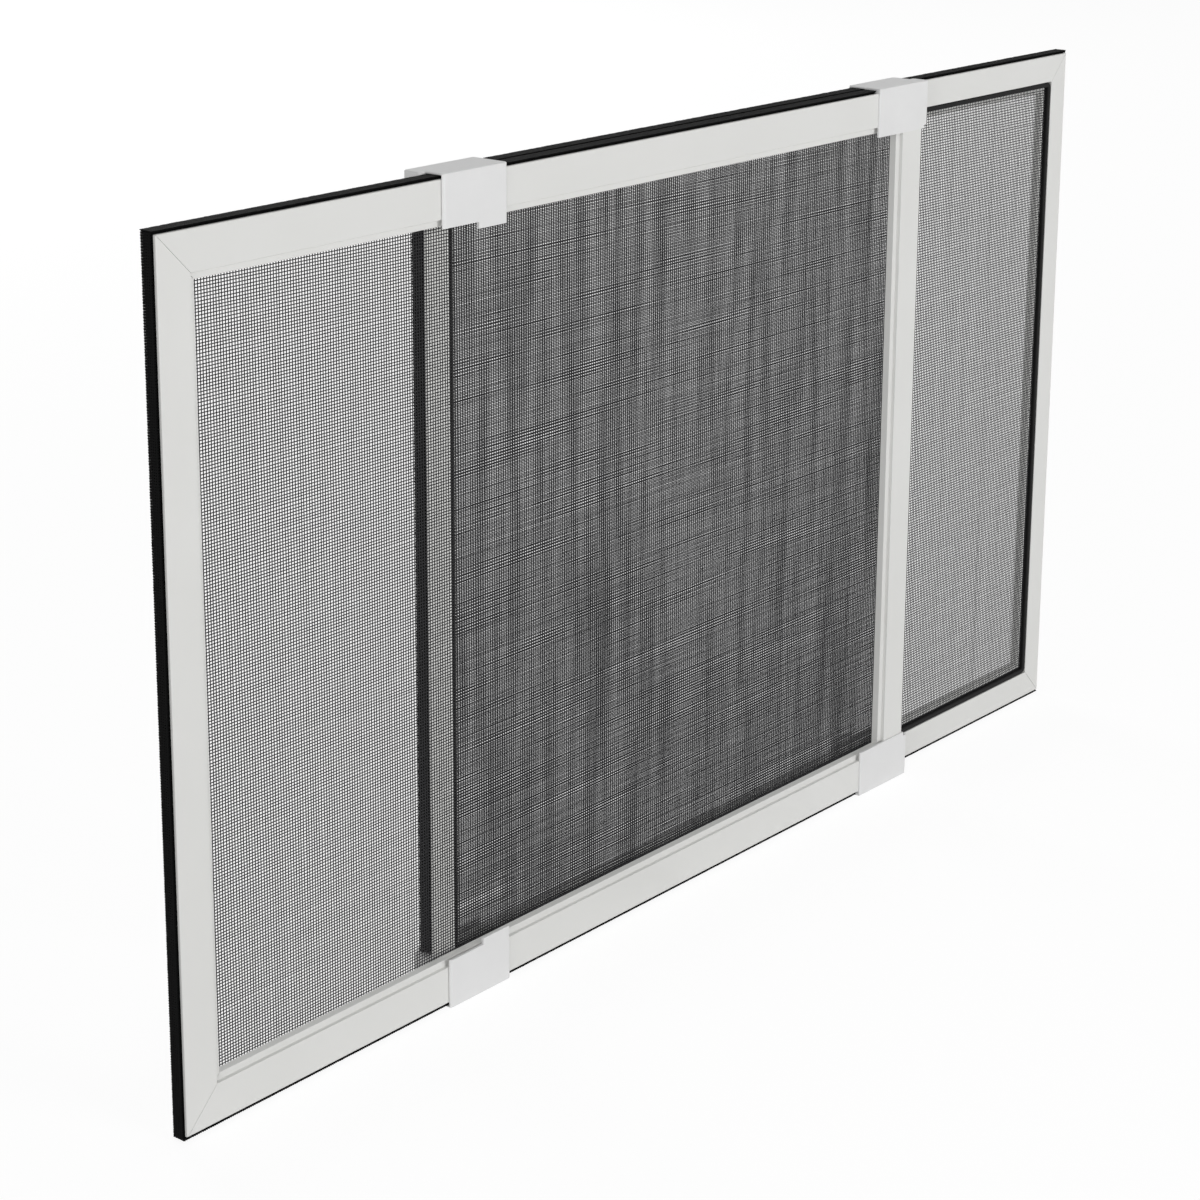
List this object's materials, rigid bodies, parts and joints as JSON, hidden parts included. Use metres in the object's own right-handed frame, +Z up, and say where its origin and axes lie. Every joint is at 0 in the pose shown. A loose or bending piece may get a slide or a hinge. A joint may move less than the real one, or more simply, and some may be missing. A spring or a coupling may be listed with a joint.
{
  "type": "extendable window insect screen",
  "caption": "White aluminium window insect screen made of two sliding frames with dark fly mesh, brush pile edges and plastic slider clips.",
  "frame": {"origin": "centre of the pair of frames at rest, in the plane of the slider clips' undersides", "axes": "+X along the frames, from the front frame's outer stile towards the rear frame's; +Y from the front frame to the rear frame; +Z up"},
  "size_m": [0.6972, 0.0206, 0.3858],
  "materials": {
    "white_aluminium": "satin white powder coat",
    "clip_plastic": "smooth white moulded plastic",
    "key_plastic": "plain moulded plastic",
    "fly_mesh": "charcoal coated glass fibre weave",
    "spline_rubber": "matt black",
    "brush_pile": "black brush pile"
  },
  "bodies": {
    "front_frame": {"front_outer_stile": "white_aluminium", "front_top_rail": "white_aluminium", "front_bottom_rail": "white_aluminium", "front_inner_stile": "white_aluminium", "front_upper_corner_key": "key_plastic", "front_lower_corner_key": "key_plastic", "front_upper_slider_clip": "clip_plastic", "front_lower_slider_clip": "clip_plastic", "front_insect_mesh": "fly_mesh", "front_mesh_spline": "spline_rubber", "front_top_pile": "brush_pile", "front_bottom_pile": "brush_pile", "front_outer_pile": "brush_pile", "front_inner_pile": "brush_pile"},
    "rear_frame": {"rear_outer_stile": "white_aluminium", "rear_top_rail": "white_aluminium", "rear_bottom_rail": "white_aluminium", "rear_inner_stile": "white_aluminium", "rear_upper_corner_key": "key_plastic", "rear_lower_corner_key": "key_plastic", "rear_upper_slider_clip": "clip_plastic", "rear_lower_slider_clip": "clip_plastic", "rear_insect_mesh": "fly_mesh", "rear_mesh_spline": "spline_rubber", "rear_top_pile": "brush_pile", "rear_bottom_pile": "brush_pile", "rear_outer_pile": "brush_pile", "rear_inner_pile": "brush_pile"}
  },
  "joints": [
    {"name": "rear_frame_slide", "type": "slide", "parent": "front_frame", "child": "rear_frame", "axis": [1, 0, 0], "range_m": [-0.161, 0.2885]}
  ]
}
